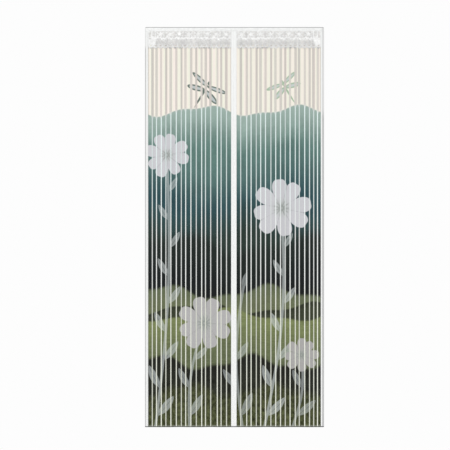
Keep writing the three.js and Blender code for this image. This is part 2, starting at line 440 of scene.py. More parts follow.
class Shader:
    """A new material with a cloth finish, and short calls that add nodes to it."""

    def __init__(self, name, roughness, sheen, gloss=0.2):
        self.material = bpy.data.materials.new(name)
        self.material.use_nodes = True
        self.tree = self.material.node_tree
        self.finish = self.tree.nodes["Principled BSDF"]
        self.finish.inputs["Roughness"].default_value = roughness
        self.finish.inputs["Specular IOR Level"].default_value = gloss
        self.finish.inputs["Sheen Weight"].default_value = sheen
        self.finish.inputs["Sheen Roughness"].default_value = 0.6

    def link(self, value, socket):
        if isinstance(value, bpy.types.NodeSocket):
            self.tree.links.new(value, socket)
        else:
            socket.default_value = value

    def place(self):
        """The surface's own place in metres, as x, y and z."""
        where = self.tree.nodes.new("ShaderNodeTexCoord")
        parts = self.tree.nodes.new("ShaderNodeSeparateXYZ")
        self.tree.links.new(where.outputs["Object"], parts.inputs[0])
        return where.outputs["Object"], parts.outputs

    def math(self, operation, first, second=0.0, third=0.0):
        node = self.tree.nodes.new("ShaderNodeMath")
        node.operation = operation
        for value, socket in zip((first, second, third), node.inputs):
            self.link(value, socket)
        return node.outputs[0]

    def times(self, first, second):
        return self.math("MULTIPLY", first, second)

    def plus(self, first, second):
        return self.math("ADD", first, second)

    def times_plus(self, first, second, third):
        return self.math("MULTIPLY_ADD", first, second, third)

    def field(self, name):
        node = self.tree.nodes.new("ShaderNodeAttribute")
        node.attribute_name = name
        return node.outputs["Fac"]

    def step(self, low, high, value, start=0.0, end=1.0):
        """Eases from start to end as value goes from low to high."""
        node = self.tree.nodes.new("ShaderNodeMapRange")
        node.interpolation_type = "SMOOTHSTEP"
        self.link(value, node.inputs["Value"])
        for name, number in (("From Min", low), ("From Max", high), ("To Min", start), ("To Max", end)):
            self.link(number, node.inputs[name])
        return node.outputs["Result"]

    def mix(self, share, first, second, blend="MIX"):
        node = self.tree.nodes.new("ShaderNodeMix")
        node.data_type = "RGBA"
        node.blend_type = blend
        factor, colour_a, colour_b = (node.inputs[k] for k in (0, 6, 7))
        self.link(share, factor)
        self.link(first, colour_a)
        self.link(second, colour_b)
        return node.outputs[2]

    def noise(self, where, stretch, detail):
        """Soft noise of 0 to 1, with its own scale along x, y and z, in turns a metre."""
        scale = self.tree.nodes.new("ShaderNodeMapping")
        scale.inputs["Scale"].default_value = stretch
        self.tree.links.new(where, scale.inputs["Vector"])
        node = self.tree.nodes.new("ShaderNodeTexNoise")
        node.inputs["Scale"].default_value = 1.0
        node.inputs["Detail"].default_value = detail
        self.tree.links.new(scale.outputs["Vector"], node.inputs["Vector"])
        return node.outputs["Fac"]

    def wander(self, where, stretch, detail):
        """Soft noise that wanders by a half each way from nothing."""
        return self.math("SUBTRACT", self.noise(where, stretch, detail), 0.5)

    def shade(self, colour, lightness):
        """The colour multiplied by a lightness."""
        grey = self.tree.nodes.new("ShaderNodeCombineColor")
        for socket in grey.inputs:
            self.link(lightness, socket)
        return self.mix(1.0, colour, grey.outputs[0], "MULTIPLY")

    def threads(self, along, pitch):
        """Rounded threads that lie side by side, 0 between them and 1 on top."""
        turn = self.times(along, math.pi / (pitch * MM))
        return self.math("ABSOLUTE", self.math("SINE", turn))

    def colour(self, value):
        self.link(value, self.finish.inputs["Base Color"])

    def bump(self, height, depth, strength):
        node = self.tree.nodes.new("ShaderNodeBump")
        node.inputs["Strength"].default_value = strength
        node.inputs["Distance"].default_value = depth * MM
        self.tree.links.new(height, node.inputs["Height"])
        self.tree.links.new(node.outputs["Normal"], self.finish.inputs["Normal"])


def net_ground(s, where, x, drop, tint):
    """The shaded ground with its waved layers, and the share by which places lie below its cream top."""
    colour = s.mix(tint, ink("cream_pink"), ink("cream_green"))
    ends = [layer[0] for layer in LAYERS[1:]] + [HEIGHT]
    waved_drops = []
    for (start, height, length, phase, soft, top, bottom), end in zip(LAYERS, ends):
        turn = s.times_plus(x, 2 * math.pi / (length * MM), phase)
        second_wave = s.math("SINE", s.times(turn, SECOND_WAVE_RATE))
        ripple = s.times_plus(second_wave, SECOND_WAVE_SHARE, s.math("SINE", turn))
        waved_drop = s.times_plus(ripple, -height, drop)
        layer = s.mix(s.step(start, end, waved_drop), linear(top), linear(bottom))
        colour = s.mix(s.step(start - soft, start + soft, waved_drop), colour, layer)
        waved_drops.append(waved_drop)
    cream_end, cream_soft = LAYERS[0][0], LAYERS[0][4]
    below_cream = s.step(cream_end - 2 * cream_soft, cream_end + 4 * cream_soft, waved_drops[0])

    cloud = s.times(s.wander(where, (13, 13, 9), 3), s.step(*CLOUD_ZONE, drop, 0.05, 0.5))
    streaked = s.times(s.step(*STREAK_ZONE, drop), s.step(*STREAK_FADE, drop, 0.25, 0.7))
    streak = s.times(s.wander(where, (16, 16, 150), 3), streaked)
    speckled = s.times(s.step(*SPECKLE_ZONE, drop, 0.3, 3.2), s.step(*CLOUD_ZONE, drop))
    speckle = s.times(s.wander(where, (58, 58, 50), 4), speckled)
    mottle = s.plus(s.plus(cloud, streak), speckle)
    return s.shade(colour, s.math("MAXIMUM", s.plus(mottle, 1.0), 0.3)), below_cream


def printed_sprays(s, colour):
    """Leafy stems, darker along the leaves' ribs and veins."""
    rib = s.math("ABSOLUTE", s.field("rib"))
    vein_place = s.times_plus(rib, VEIN_SLANT, s.field("vein"))
    vein = s.step(0.2, 0.05, s.threads(s.times(vein_place, MM), VEIN_PITCH), 0.0, 0.35)
    lines = s.math("MAXIMUM", s.step(2.4, 0.9, rib), vein)
    printed = s.times(s.field("spray_print"), s.times_plus(lines, -0.4, 1.0))
    spray = s.times(s.step(1.0, -1.2, s.field("spray")), printed)
    return s.mix(spray, colour, ink("leaf"))


def printed_blossoms(s, colour):
    """Petals with fine lines and seams between them, a soft throat and stamens."""
    petal = s.step(1.0, -1.2, s.field("petal"))
    petal_colour = s.mix(s.field("petal_pale"), ink("petal_grey"), ink("petal_pale"))
    flower_x = s.field("flower_x")
    flower_up = s.field("flower_up")
    radius = s.math("SQRT", s.plus(s.times(flower_x, flower_x), s.times(flower_up, flower_up)))
    fine_line = s.threads(s.times(s.field("petal_across"), MM), PETAL_LINE_PITCH)
    line_shade = s.times(s.step(0.25, 0.0, fine_line), s.step(0.32, 0.5, radius, 0.0, -0.07))
    petal_colour = s.shade(petal_colour, s.plus(line_shade, 1.0))
    seam = s.step(6.5, 1.5, s.field("petal_seam"), 0.0, 0.3)
    petal_colour = s.mix(seam, petal_colour, ink("petal_seam"))
    throat = s.step(0.45, 0.08, radius, 0.0, 0.4)
    petal_colour = s.mix(throat, petal_colour, ink("throat"))
    colour = s.mix(petal, colour, petal_colour)

    angle = s.math("ARCTAN2", flower_up, flower_x)
    spoke = s.times(s.math("ABSOLUTE", s.math("SINE", s.times(angle, STAMENS / 2))), radius)
    in_reach = s.times(s.step(0.3, 0.22, radius), s.step(0.03, 0.06, radius))
    stamen = s.times(s.times(s.step(0.11, 0.05, spoke), in_reach), petal)
    return s.mix(s.times(stamen, 0.55), colour, ink("stamen"))


def printed_dragonflies(s, colour):
    """Bodies and wings, with a light patch on each wing."""
    wing = s.step(0.8, -0.8, s.field("wing"))
    patch = s.step(0.8, -0.8, s.field("wing_patch"))
    wing_colour = s.mix(s.field("wing_pale"), ink("wing_dark"), ink("wing_pale"))
    wing_colour = s.mix(s.times(patch, 0.8), wing_colour, ink("wing_patch"))
    return s.mix(wing, colour, wing_colour)


def woven_stripes(s, colour, drop, tint, below_cream):
    """Grey bands of painted shade in place of the raised cords on the cream, which turn to light cords below
    the cream, with a painted shadow beside the tapes on the cream, and the share of a stripe at each place.
    """
    band = s.step(0.5, -0.5, s.field("cord_shade_band"))
    cord = s.step(2.9, 1.8, s.field("from_stripe"))
    stripe = s.times_plus(s.math("SUBTRACT", cord, band), below_cream, band)
    tone = s.field("stripe_tone")
    light = s.mix(s.step(*CORD_WHITE_ZONE, drop), ink("cord_cool"), ink("cord_white"))
    light = s.mix(s.step(*CORD_WARM_ZONE, drop), light, ink("cord_warm"))
    light = s.shade(light, s.times(tone, tone))
    # On the cream the grey of the bands is painted shade of the raised cords
    grey = s.shade(s.mix(tint, ink("cord_shade_pink"), ink("cord_shade_green")), tone)
    colour = s.mix(s.times(stripe, STRIPE_COVER), colour, s.mix(below_cream, grey, light))
    # A painted shadow on the cream beside the tapes' inner edges
    beside = s.step(4.8, 3.4, s.field("tape_shadow_distance"), 1.0, 0.77)
    return s.mix(below_cream, s.shade(colour, beside), colour), stripe


def net_material():
    """Fine woven net with a shaded ground, pale printed motifs and light woven stripes."""
    s = Shader("striped_net", roughness=0.9, sheen=0.0, gloss=0.05)
    where, (x, _, z) = s.place()
    drop = s.times(z, -1 / MM)
    tint = s.step(0.35, 0.65, s.noise(where, (42, 42, 0.2), detail=1))
    colour, below_cream = net_ground(s, where, x, drop, tint)
    for motif in (printed_sprays, printed_blossoms, printed_dragonflies):
        colour = motif(s, colour)
    colour, stripe = woven_stripes(s, colour, drop, tint, below_cream)

    hem_light = s.times(s.step(HEIGHT - 12, HEIGHT - 10, drop), s.step(HEIGHT - 4, HEIGHT - 6, drop))
    colour = s.mix(s.times(hem_light, 0.12), colour, ink("hem_light"))
    # A dark line along the hem's lower edge: painted shade
    colour = s.mix(s.step(HEIGHT - 5.5, HEIGHT - 3.5, drop), colour, ink("hem_foot_shade"))

    yarn = s.math("MAXIMUM", s.threads(z, YARN_PITCH), s.threads(x, YARN_PITCH))
    twist = s.threads(s.times_plus(x, 0.8, z), TWIST_PITCH)
    relief = s.plus(s.times(yarn, s.math("SUBTRACT", 1.0, stripe)), s.times(twist, stripe))
    # Darker between the yarns and lighter on them: painted shade
    s.colour(s.shade(colour, s.times_plus(relief, 0.2, 0.845)))
    s.bump(relief, 0.5, 0.5)
    return s.material


def tape_material():
    """White woven tape, flecked on the heading, greyer with painted shade along its folds and a faint grey
    tone on some tapes, and darker with painted shade at its lower ends.
    """
    s = Shader("white_tape", roughness=0.7, sheen=0.08)
    where, (x, _, z) = s.place()
    drop = s.times(z, -1 / MM)
    flecks = s.step(19.8, 20.6, drop, 0.4, 0.07)
    colour = s.shade(ink("tape"), s.times_plus(s.wander(where, (70, 70, 120), 3), flecks, 0.99))
    # Greyer by painted shade along the folds and ends, and by a faint grey tone on some tapes
    colour = s.mix(s.field("shade_and_grey"), colour, ink("tape_shade_grey"))
    # A dark line at the tapes' lower ends: painted shade
    colour = s.mix(s.step(HEIGHT - 6.5, HEIGHT - 3.5, drop), colour, ink("tape_foot_shade"))
    weave = s.times(s.threads(x, TAPE_YARN_PITCH), s.threads(z, TAPE_YARN_PITCH))
    # Darker between the yarns and lighter on them: painted shade
    s.colour(s.shade(colour, s.times_plus(weave, 0.08, 0.965)))
    s.bump(weave, 0.25, 0.5)
    return s.material


def lace_material():
    """Matte lace thread, whiter where it is worked, and greyer with painted shade at the foot of the scallops
    and outside the inner cord.
    """
    s = Shader("white_lace", roughness=0.8, sheen=0.08)
    where, (x, _, z) = s.place()
    worked_and_shade = s.field("worked_and_shade")
    colour = s.mix(worked_and_shade, ink("lace"), ink("lace_worked"))
    # Marks below nothing grey the lace: painted shade at the scallops' feet and outside the inner cord
    colour = s.mix(s.step(0.0, -1.0, worked_and_shade), colour, ink("lace_shaded"))
    s.colour(s.shade(colour, s.times_plus(s.wander(where, (75, 75, 75), 2), 0.5, 0.99)))
    s.bump(s.threads(s.plus(x, z), 0.7), 0.2, 0.4)
    return s.material


def thread_material():
    """White sewing thread."""
    s = Shader("sewing_thread", roughness=0.6, sheen=0.05)
    _, (x, _, z) = s.place()
    ply = s.threads(s.plus(x, z), 0.5)
    # Darker between the plies and lighter on them: painted shade
    s.colour(s.mix(s.times(ply, 0.5), ink("thread_dark"), ink("thread_light")))
    s.bump(ply, 0.12, 0.4)
    return s.material


# Printed motifs

def oval(x, up, long, wide, turn):
    """About how far points are from an oval round the middle, negative inside."""
    along, across = turned(x, up, turn)
    return (np.hypot(along / long, across / wide) - 1) * min(long, wide)


def petal_place(right, up, turn, reach):
    """About how far points are from one petal, negative inside, and where they lie across it."""
    along, across = turned(right, up, turn)
    from_middle = (along - 0.58 * reach) / (0.42 * reach)
    half_width = PETAL_HALF * reach * (1 + 0.3 * np.clip(from_middle, -1.2, 1))
    notch = PETAL_NOTCH * np.exp(-(3 * across / half_width) ** 2) * np.clip(from_middle, 0, 1)
    ring = np.hypot(from_middle, across / half_width) + notch
    return (ring - 1) * PETAL_HALF * reach, across / half_width


def blossom_fields(x, drop):
    """Distances to the petals and to the seams between them, and places in the nearest petal and blossom."""
    names = ("petal_across", "petal_pale", "flower_x", "flower_up")
    fields = {name: np.zeros_like(x) for name in names}
    nearest = np.full_like(x, 1e3)
    second = np.full_like(x, 2e3)
    for blossom in BLOSSOMS:
        right = x - blossom["x"]
        up = blossom["drop"] - drop
        for k in range(PETALS):
            turn = blossom["turn"] + 360 / PETALS * k + 4 * math.sin(2.1 * k)
            reach = blossom["reach"] * (1 + 0.04 * math.sin(2.6 * k + 1))
            distance, across = petal_place(right, up, turn, reach)
            nearer = distance < nearest
            second = np.where(nearer, nearest, np.minimum(second, distance))
            nearest = np.where(nearer, distance, nearest)
            here = {"petal_across": across, "petal_pale": blossom["pale"],
                    "flower_x": right / blossom["reach"], "flower_up": up / blossom["reach"]}
            for name in names:
                fields[name] = np.where(nearer, here[name], fields[name])
    heart = np.hypot(fields["flower_x"], fields["flower_up"]) - HEART
    fields["petal"] = np.minimum(nearest, heart * min(blossom["reach"] for blossom in BLOSSOMS))
    fields["petal_seam"] = second - nearest
    return fields


def stem_x(spray, drop):
    """Where a spray's stem lies across the curtain: it leans from foot to tip and bows sideways."""
    share = (HEIGHT - drop) / (HEIGHT - spray["tip_drop"])
    straight = spray["foot_x"] + (spray["tip_x"] - spray["foot_x"]) * share
    return straight + spray["bow"] * np.sin(math.pi * share)


def leaf_place(x, drop, base_x, base_drop, degrees, length, curl):
    """About how far points are from a leaf, negative inside, and where they lie across and along it."""
    along, straight = turned(x - base_x, base_drop - drop, degrees)
    share = along / length
    across = straight - curl * length * share ** 2
    half_width = LEAF_HALF * length * 4 * share * (1 - share)
    return np.abs(across) - half_width, across, along


def spray_shapes(spray, x, drop):
    """The stem and the leaves of one spray, each as distance, place across its rib and place along it."""
    tip_drop = spray["tip_drop"]
    stem = np.maximum(np.abs(x - stem_x(spray, drop)) - STEM_WIDTH / 2, tip_drop - drop)
    shapes = [(stem, np.full_like(x, STEM_WIDTH), np.zeros_like(x))]
    bases = np.arange(HEIGHT - 0.4 * LEAF_STEP, tip_drop + LEAF_CLEAR, -LEAF_STEP)
    for k, base in enumerate(np.append(bases, tip_drop + 0.3 * LEAF_LENGTH)):
        side = 0 if k == len(bases) else (-1) ** k
        lean = math.degrees(math.atan(stem_x(spray, base - 1) - stem_x(spray, base)))
        length = LEAF_LENGTH * (1 - 0.4 * (HEIGHT - base) / (HEIGHT - tip_drop))
        shapes.append(leaf_place(x, drop, stem_x(spray, base), base, 90 - lean - side * LEAF_TURN, length,
                                 side * LEAF_CURL))
    return shapes


def spray_fields(x, drop):
    """Distance to the nearest stem or leaf, places across and along it, and how strongly it is printed."""
    fields = {"spray": np.full_like(x, 60.0), "rib": np.zeros_like(x), "vein": np.zeros_like(x),
              "spray_print": np.zeros_like(x)}
    for spray in SPRAYS:
        for distance, across, along in spray_shapes(spray, x, drop):
            nearer = distance < fields["spray"]
            here = {"spray": distance, "rib": across, "vein": along, "spray_print": spray["strength"]}
            for name, values in here.items():
                fields[name] = np.where(nearer, values, fields[name])
    return fields


def dragonfly_fields(x, drop):
    """Distances to the dragonflies' bodies and wings, and to the light patches on the wings."""
    fields = {"wing": np.full_like(x, 1e3), "wing_patch": np.full_like(x, 1e3), "wing_pale": np.zeros_like(x)}
    for fly in DRAGONFLIES:
        size = fly["size"]
        right = (x - fly["x"]) / size
        up = (fly["drop"] - drop) / size
        along, across = turned(right, up, fly["turn"])
        shapes = [("wing", oval(along + 0.2, across, 0.42, 0.03, 0)),
                  ("wing", oval(along - 0.27, across, 0.06, 0.05, 0))]
        for place, way, long, wide in WINGS:
            for side in (-1, 1):
                middle_along = along - place - long * math.cos(math.radians(way))
                middle_across = across - side * long * math.sin(math.radians(way))
                for name, length, width in WING_SHAPES:
                    shape = oval(middle_along, middle_across, length * long, width * wide, side * way)
                    shapes.append((name, shape))
        for name, distance in shapes:
            fields[name] = np.minimum(fields[name], size * distance)
        fields["wing_pale"] = np.where(np.hypot(right, up) < 1, fly["pale"], fields["wing_pale"])
    return fields


# Net panels

def flute_y(panel, x, drop):
    """How far back the middle of the cloth hangs."""
    left, right = panel.free
    share = ease(0, FLUTE_EDGE, panel.from_tape(x)) * ease(FLUTE_START, FLUTE_FULL, drop)
    across = (x - left) / (right - left)
    total = np.zeros(np.broadcast(x, drop).shape)
    for depth, count, lean, phase in FLUTES[panel.side]:
        total = total + depth * np.sin(2 * math.pi * (count * across + lean * drop / HEIGHT + phase))
    return share * total


def pucker_y(panel, x, drop):
    """Small puckers beside the sewn tapes, which die out into the panel."""
    from_tape = panel.from_tape(x)
    crest = 0.35 * PUCKER_REACH
    share = ease(0, crest, from_tape) * (1 - ease(crest, PUCKER_REACH, from_tape))
    share = share * ease(FLUTE_START, 2 * FLUTE_START, drop)
    drift = 1.7 * np.sin(drop / 190 + x / 300)
    return PUCKER * share * np.sin(2 * math.pi * drop / PUCKER_PITCH + drift)


def net_columns(panel):
    """Places across the panel, with the share of a stripe's rise and whether the hem is free there."""
    columns = [(panel.edges[0], 0.0, 0.0), (panel.free[0], 0.0, 0.0), (panel.free[0] + HEM_SLOPE, 0.0, 1.0)]
    for centre in panel.stripes:
        start = columns[-1][0]
        end = centre - STRIPE_FOOT
        for k in range(1, GAP_COLUMNS + 1):
            columns.append((start + (end - start) * k / (GAP_COLUMNS + 1), 0.0, 1.0))
        columns.extend((centre + offset, rise, 1.0) for offset, rise in STRIPE_PROFILE)
    columns.append((panel.free[1] - HEM_SLOPE, 0.0, 1.0))
    columns.extend([(panel.free[1], 0.0, 0.0), (panel.edges[1], 0.0, 0.0)])
    return np.array(columns).T


def net_rows(panel, heading_end):
    """Places down the panel: closer together where the stripes come out of the heading and at the hem."""
    first = heading_end + 2 * HEM_SLOPE
    last = HEM_TOP - HEM_SLOPE
    even = np.linspace(first, last, int((last - first) / NET_ROW_STEP) + 1)
    ends = [panel.top, heading_end, heading_end + HEM_SLOPE]
    return np.concatenate([ends, even, [HEM_TOP, HEM_TOP + HEM_DEPTH / 2, HEIGHT - 0.8, HEIGHT]])


def stripe_fields(panel, x):
    """Distances to the nearest stripe's middle, to the edge of its uneven band of painted shade and to the
    tapes beside which a shadow is painted, and its own tone.
    """
    number = np.arange(len(panel.stripes))
    shift = CORD_SHADE_SHIFT * np.sin(2.4 * number + 0.6)
    half = CORD_SHADE_HALF + CORD_SHADE_VARY * np.sin(1.7 * number + 1.0)
    tone = 1.03 - TONE_VARY * (0.5 + 0.5 * np.sin(4.1 * number + 2.0))
    nearest = np.abs(x[:, None] - panel.stripes).argmin(axis=1)
    offset = x - panel.stripes[nearest]
    # The tapes' inner edges beside which a shadow is painted on the cream
    lined = panel.free if panel.outer_is_left else panel.free[1:]
    return {
        "tape_shadow_distance": np.min([np.abs(x - edge) for edge in lined], axis=0),
        "from_stripe": np.abs(offset),
        "cord_shade_band": np.abs(offset - shift[nearest]) - half[nearest],
        "stripe_tone": tone[nearest],
    }


def net_panel(panel, heading_end, material):
    """One panel of cloth with raised stripes and a doubled hem, and the fields that its print reads."""
    x, rise, loose = net_columns(panel)
    drop = net_rows(panel, heading_end)
    x_grid, drop_grid = np.meshgrid(x, drop)
    stripe = rise * ease(heading_end, heading_end + HEM_SLOPE, drop)[:, None]
    hem = loose * ease(HEM_TOP - HEM_SLOPE, HEM_TOP, drop)[:, None]
    round_end = np.where(drop > HEIGHT - 0.1, 0.55, 1.0)[:, None]
    half = (NET_HALF + STRIPE_RISE * stripe + HEM_RISE * hem) * round_end
    middle = flute_y(panel, x_grid, drop_grid) + pucker_y(panel, x_grid, drop_grid)
    faces = [np.stack([x_grid, middle + facing * half, -drop_grid], axis=-1) for facing in (-1, 1)]
    shells = Shells()
    closed_sheet(shells, *faces)
    piece = make_piece(f"panel_{panel.side}", shells, material)

    flat_x, flat_drop = x_grid.ravel(), drop_grid.ravel()
    fields = stripe_fields(panel, flat_x)
    for motif in (blossom_fields, spray_fields, dragonfly_fields):
        fields.update(motif(flat_x, flat_drop))
    for name, values in fields.items():
        set_field(piece, name, np.tile(values, 2))
    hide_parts(f"net_{panel.side}")
    return piece


# Lace valances

class Lace:
    """The outline of one panel's lace and the gentle ripple in which it hangs."""

    def __init__(self, panel):
        low, high = node_box(f"lace_{panel.side}")
        self.panel = panel
        self.left, self.right = low[0], high[0]
        self.top = -high[2]
        self.scallops = len(panel.stripes) + 1
        self.pitch = (self.right - self.left) / self.scallops

    def arch(self, x):
        """The share of a scallop's depth, none at the cusps and one at the foot."""
        share = np.mod((x - self.left) / self.pitch, 1.0)
        return np.sqrt(np.maximum(0, 1 - (2 * share - 1) ** 2))

    def edge(self, x):
        """How far down the scalloped edge lies."""
        return LACE_DROP + SCALLOP_CUSP + (SCALLOP_DEPTH - SCALLOP_CUSP) * self.arch(x)

    def inner_cord(self, x):
        """How far down the cord lies that follows the edge inside it and rises higher at the cusps."""
        return INNER_CORD_DROP + INNER_CORD_DEPTH * self.arch(x)

    def y(self, x, drop):
        """The middle of the lace, front to back."""
        share = ease(20.0, LACE_DROP, drop)
        return LACE_MIDDLE_Y - LACE_RIPPLE * share * (0.5 - 0.5 * np.cos(2 * math.pi * x / LACE_RIPPLE_PITCH))

    def on_front(self, x, drop, height):
        """Points that stand out from the front of the lace."""
        x, drop = np.asarray(x, float), np.asarray(drop, float)
        return np.stack([x, self.y(x, drop) - LACE_HALF - height, -drop], axis=-1)

    def eyelets(self):
        return self.left + (np.arange(self.scallops) + 0.5) * self.pitch

    def doubled(self, x, drop):
        """True in the plain turned end, which narrows lower down, but not in its openwork ladders."""
        place = self.from_outside(x)
        doubled = place < LACE_HEM - LACE_HEM_TAPER[self.panel.side] * ease(60.0, LACE_DROP, drop)
        for start, end, foot in LACE_LADDERS:
            doubled &= ~((place > start) & (place < end) & (drop < foot))
        return doubled

    def from_outside(self, x):
        return x - self.left if self.panel.outer_is_left else self.right - x


def polar(reach, degrees):
    angle = math.radians(degrees)
    return reach * math.cos(angle), reach * math.sin(angle)


def lace_motifs(lace):
    """The worked motifs, each as x and drop points round its middle, its height and its whiteness."""
    motifs = []
    turn = turns(14)

    def add_oval(x, drop, size, degrees, height, white, pointed=0.0):
        along = np.cos(turn) * size[0]
        across = np.sin(turn) * size[1] * (1 - pointed * np.cos(turn) ** 2)
        angle = math.radians(degrees)
        motifs.append((x + along * math.cos(angle) - across * math.sin(angle),
                       drop - along * math.sin(angle) - across * math.cos(angle), height, white))

    count = int((lace.right - lace.left - LACE_HEM) // TIER_PITCH)
    start = lace.left + (LACE_HEM if lace.panel.outer_is_left else 0.0)
    pitch = (lace.right - lace.left - LACE_HEM) / count
    for k in range(count):
        x = start + (k + 0.5) * pitch
        drop = LACE_FLOWER_DROP + 2.0 * math.sin(2.3 * k)
        for petal in range(LACE_PETALS):
            degrees = 90 + 360 / LACE_PETALS * petal + 11 * math.sin(1.7 * k)
            right, up = polar(LACE_PETAL_REACH, degrees)
            add_oval(x + right, drop - up, LACE_PETAL, degrees, 0.75, 0.65)
        add_oval(x, drop, LACE_HEART, 0, 1.05, 0.9)
        for degrees, reach in LACE_LEAF_PLACES:
            right, up = polar(reach, degrees + 6 * math.cos(1.3 * k))
            add_oval(x + right, drop - up, LACE_LEAF, degrees, 0.6, 0.5, LACE_LEAF_POINT)
        for leaf in range(GARLAND_LEAVES):
            at = x + (leaf / GARLAND_LEAVES - 0.43) * pitch
            side = (-1) ** leaf
            uneven = math.sin(2.7 * (GARLAND_LEAVES * k + leaf)) * math.sin(1.1 * k + leaf)
            size = 6.2 + 1.6 * uneven, 3.0 + 0.9 * uneven
            add_oval(at, garland_drop(at) + 4.2 * side, size, -33 * side, 0.8, 0.6 + 0.4 * uneven,
                     LACE_LEAF_POINT)
        for offset, dot_drop in LACE_DOT_PLACES:
            add_oval(x + offset * pitch, dot_drop, LACE_DOT, 0, 0.7, 0.5)
    return motifs


def garland_drop(x):
    return GARLAND_DROP + GARLAND_SWING * np.sin(2 * math.pi * x / TIER_PITCH)


def under_motif(motifs, x, drop):
    """True where a point is closer to a motif's middle than most of the motif's outline is."""
    found = np.zeros(len(x), bool)
    for motif_x, motif_drop, *_ in motifs:
        near = np.hypot(x - motif_x.mean(), drop - motif_drop.mean())
        reach = np.hypot(motif_x - motif_x.mean(), motif_drop - motif_drop.mean()).mean()
        found |= near < 0.8 * reach
    return found


def lace_white_and_shade(lace, x, drop):
    """How white the ground is: most in the heading and the turned end, least outside the inner cord, where
    the mark drops below nothing and greys the lace as painted shade.
    """
    doubled = lace.doubled(x, drop)
    white = LACE_HEM_WHITE[lace.panel.side] * doubled + 0.7 * (1 - ease(21, 26, drop))
    white = np.maximum(white, 0.12 * (drop < 60))
    white = np.maximum(white, 0.28 * ease(58, 61, drop) * (1 - ease(67, 80, drop)))
    return white - 0.5 * (drop > lace.inner_cord(x)) * ~doubled


def lace_ground(shells, lace, motifs):
    """A six-sided mesh, closed under the motifs, in the heading and in the turned end."""
    row_step = MESH_PITCH * math.sqrt(3) / 2
    rows = int((LACE_DROP + SCALLOP_DEPTH - lace.top) / row_step) + 1
    columns = int((lace.right - lace.left) / MESH_PITCH) + 2
    row, column = (part.ravel() for part in np.mgrid[0:rows, 0:columns])
    x = lace.left + MESH_PITCH * (column + 0.5 * (row % 2))
    drop = lace.top + 0.3 + row_step * row
    in_corner = (row == 0) & (column == 0)
    keep = ~in_corner & (x < lace.right) & (drop < lace.edge(x) - 0.8 * LACE_BAND)
    for eyelet in lace.eyelets():
        keep &= np.hypot(x - eyelet, drop - EYELET_DROP) > EYELET_RADIUS + 0.5 * MESH_PITCH
    x, drop = x[keep], drop[keep]

    angle = np.radians(30 + 60 * np.arange(6))
    radius = MESH_PITCH / math.sqrt(3)
    corner_x = np.clip(x[:, None] + radius * np.cos(angle), lace.left, lace.right)
    corner_drop = np.maximum(drop[:, None] - radius * np.sin(angle), lace.top)
    hole_x = x[:, None] + (corner_x - x[:, None]) * MESH_HOLE
    hole_drop = drop[:, None] + (corner_drop - drop[:, None]) * MESH_HOLE

    keys = np.round(np.stack([corner_x, corner_drop], axis=-1).reshape(-1, 2), 2)
    shared, outer = np.unique(keys, axis=0, return_inverse=True)
    outer = outer.reshape(-1, 6)
    at_end = (x < lace.left + 0.6 * MESH_PITCH) | (x > lace.right - 0.6 * MESH_PITCH)
    plain = (drop < 20.5) | at_end | lace.doubled(x, drop) | under_motif(motifs, x, drop)
    flat_x = np.concatenate([shared[:, 0], hole_x.ravel()])
    flat_drop = np.concatenate([shared[:, 1], hole_drop.ravel()])
    middle = lace.y(flat_x, flat_drop)
    count = len(flat_x)
    points = [np.stack([flat_x, middle + side * LACE_HALF, -flat_drop], axis=-1) for side in (-1, 1)]
    inner = len(shared) + np.arange(len(x) * 6).reshape(-1, 6)

    open_outer, open_inner = outer[~plain], inner[~plain]
    next_outer, next_inner = np.roll(open_outer, -1, axis=1), np.roll(open_inner, -1, axis=1)
    ring = np.stack([open_outer, next_outer, next_inner, open_inner], axis=-1).reshape(-1, 4)
    wall = np.stack([open_inner, next_inner, next_inner + count, open_inner + count], axis=-1).reshape(-1, 4)
    solid = outer[plain]

    edge_from = outer.ravel()
    edge_to = np.roll(outer, -1, axis=1).ravel()
    real = edge_from != edge_to
    edge_from, edge_to = edge_from[real], edge_to[real]
    lone = ~np.isin(edge_from * count + edge_to, edge_to * count + edge_from)
    start, end = edge_from[lone], edge_to[lone]
    rim = np.stack([end, start, start + count, end + count], axis=-1)
    shells.add(np.concatenate(points), ring, ring[:, ::-1] + count, wall,
               solid, solid[:, ::-1] + count, rim, mark=np.tile(lace_white_and_shade(lace, flat_x, flat_drop), 2))


def lace_pad(shells, lace, x, drop, height, white):
    """A worked motif: a low pad that rises from the ground and rounds over."""
    middle_x, middle_drop = x.mean(), drop.mean()
    rings = []
    for scale, rise in ((1.0, -0.4), (1.0, 0.3), (0.82, 0.8), (0.45, 1.0)):
        ring_x = middle_x + (x - middle_x) * scale
        ring_drop = middle_drop + (drop - middle_drop) * scale
        rings.append(lace.on_front(ring_x, ring_drop, rise * height))
    top = lace.on_front([middle_x], [middle_drop], 1.04 * height)
    count = len(x)
    index = wrapped(grid_index(len(rings), count))
    crown = np.stack([index[-1, :-1], index[-1, 1:], np.full(count, len(rings) * count)], axis=-1)
    base = index[:1, :count]
    shells.add(np.concatenate([*rings, top]), grid_faces(index)[:, ::-1], crown, base[:, ::-1], mark=white)


def lace_ring(lace, x, drop, radius, count, height):
    """Points round a middle on the front of the lace."""
    turn = turns(count)
    return lace.on_front(x + radius * np.cos(turn), drop + radius * np.sin(turn), height)


